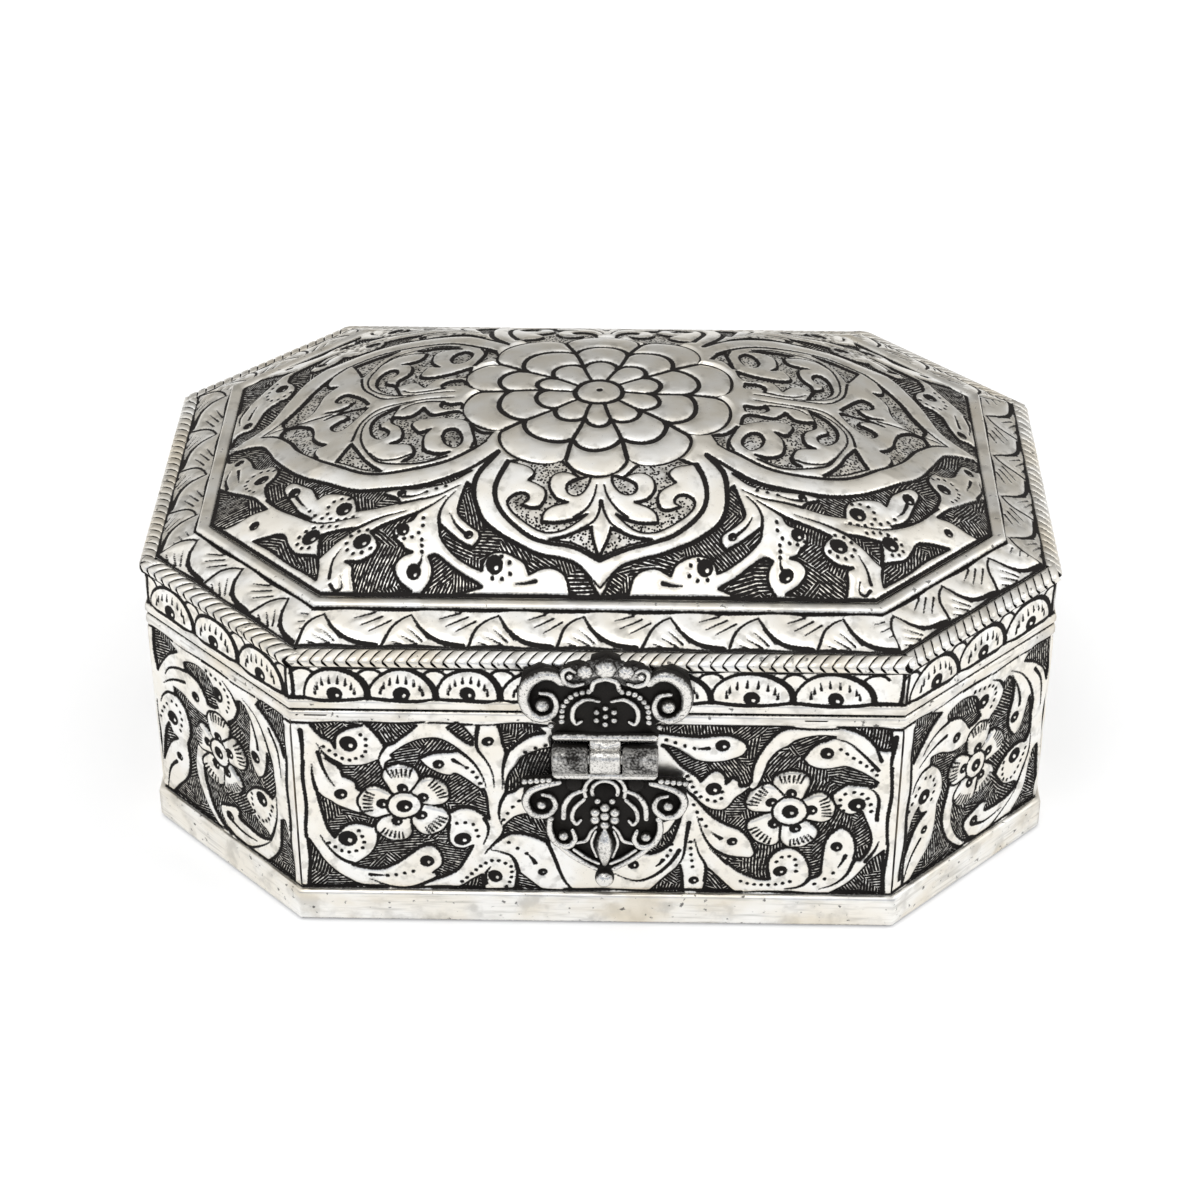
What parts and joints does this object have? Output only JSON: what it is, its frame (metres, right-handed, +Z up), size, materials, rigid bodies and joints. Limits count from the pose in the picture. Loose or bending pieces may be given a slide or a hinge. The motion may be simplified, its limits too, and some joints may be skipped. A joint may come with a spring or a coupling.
{
  "type": "trinket box",
  "caption": "Oblong eight-sided chased metal trinket box with a domed, back-hinged lid, rope rim, velvet lining and a cast front hasp whose flap swings up.",
  "frame": {"origin": "centre of the underside, on the floor", "axes": "+X along the box's length, +Y towards the back hinges (the hasp faces -Y), +Z up"},
  "size_m": [0.153, 0.1191, 0.0704],
  "materials": {
    "chased_white_metal": "white metal sheet, chased, blackened in the ground and rubbed bright on the relief",
    "cast_hasp_metal": "cast white metal, antiqued dark in the recesses",
    "hinge_metal": "plain plated sheet, slightly worn",
    "carcass_wood": "bare close-grained softwood",
    "velvet": "dark red cotton velvet on card",
    "felt": "dark red wool felt"
  },
  "bodies": {
    "base": {"base_back_board": "carcass_wood", "base_back_left_board": "carcass_wood", "base_back_left_plate": "chased_white_metal", "base_back_plate": "chased_white_metal", "base_back_right_board": "carcass_wood", "base_back_right_plate": "chased_white_metal", "base_felt": "felt", "base_floor_board": "carcass_wood", "base_floor_pad": "velvet", "base_front_board": "carcass_wood", "base_front_left_board": "carcass_wood", "base_front_left_plate": "chased_white_metal", "base_front_plate": "chased_white_metal", "base_front_right_board": "carcass_wood", "base_front_right_plate": "chased_white_metal", "base_left_board": "carcass_wood", "base_left_plate": "chased_white_metal", "base_right_board": "carcass_wood", "base_right_plate": "chased_white_metal", "base_top_bead": "chased_white_metal", "base_wall_lining": "velvet", "catch_nails": "cast_hasp_metal", "catch_plate": "cast_hasp_metal", "hinge_base_nails": "hinge_metal", "left_hinge_base_leaf": "hinge_metal", "left_hinge_pin": "hinge_metal", "plinth_sheet": "chased_white_metal", "right_hinge_base_leaf": "hinge_metal", "right_hinge_pin": "hinge_metal"},
    "lid": {"hasp_leaf": "cast_hasp_metal", "hasp_nails": "cast_hasp_metal", "hasp_pin": "cast_hasp_metal", "hinge_lid_nails": "hinge_metal", "left_hinge_lid_leaf": "hinge_metal", "lid_back_board": "carcass_wood", "lid_back_left_board": "carcass_wood", "lid_back_right_board": "carcass_wood", "lid_crown_board": "carcass_wood", "lid_front_board": "carcass_wood", "lid_front_left_board": "carcass_wood", "lid_front_right_board": "carcass_wood", "lid_left_board": "carcass_wood", "lid_lining_panel": "velvet", "lid_lower_bead": "chased_white_metal", "lid_right_board": "carcass_wood", "lid_rope_rim": "chased_white_metal", "lid_skirt_sheet": "chased_white_metal", "lid_top_sheet": "chased_white_metal", "lid_wall_lining": "velvet", "right_hinge_lid_leaf": "hinge_metal"},
    "flap": {"hasp_flap": "cast_hasp_metal"}
  },
  "joints": [
    {"name": "lid_hinge", "type": "hinge", "parent": "base", "child": "lid", "pos_m": [0, 0.0559, 0.04295], "axis": [-1, 0, 0], "range_deg": [0, 105]},
    {"name": "flap_hinge", "type": "hinge", "parent": "lid", "child": "flap", "pos_m": [0.0014, -0.0567, 0.036], "axis": [-1, 0, 0], "range_deg": [0, 150]}
  ]
}
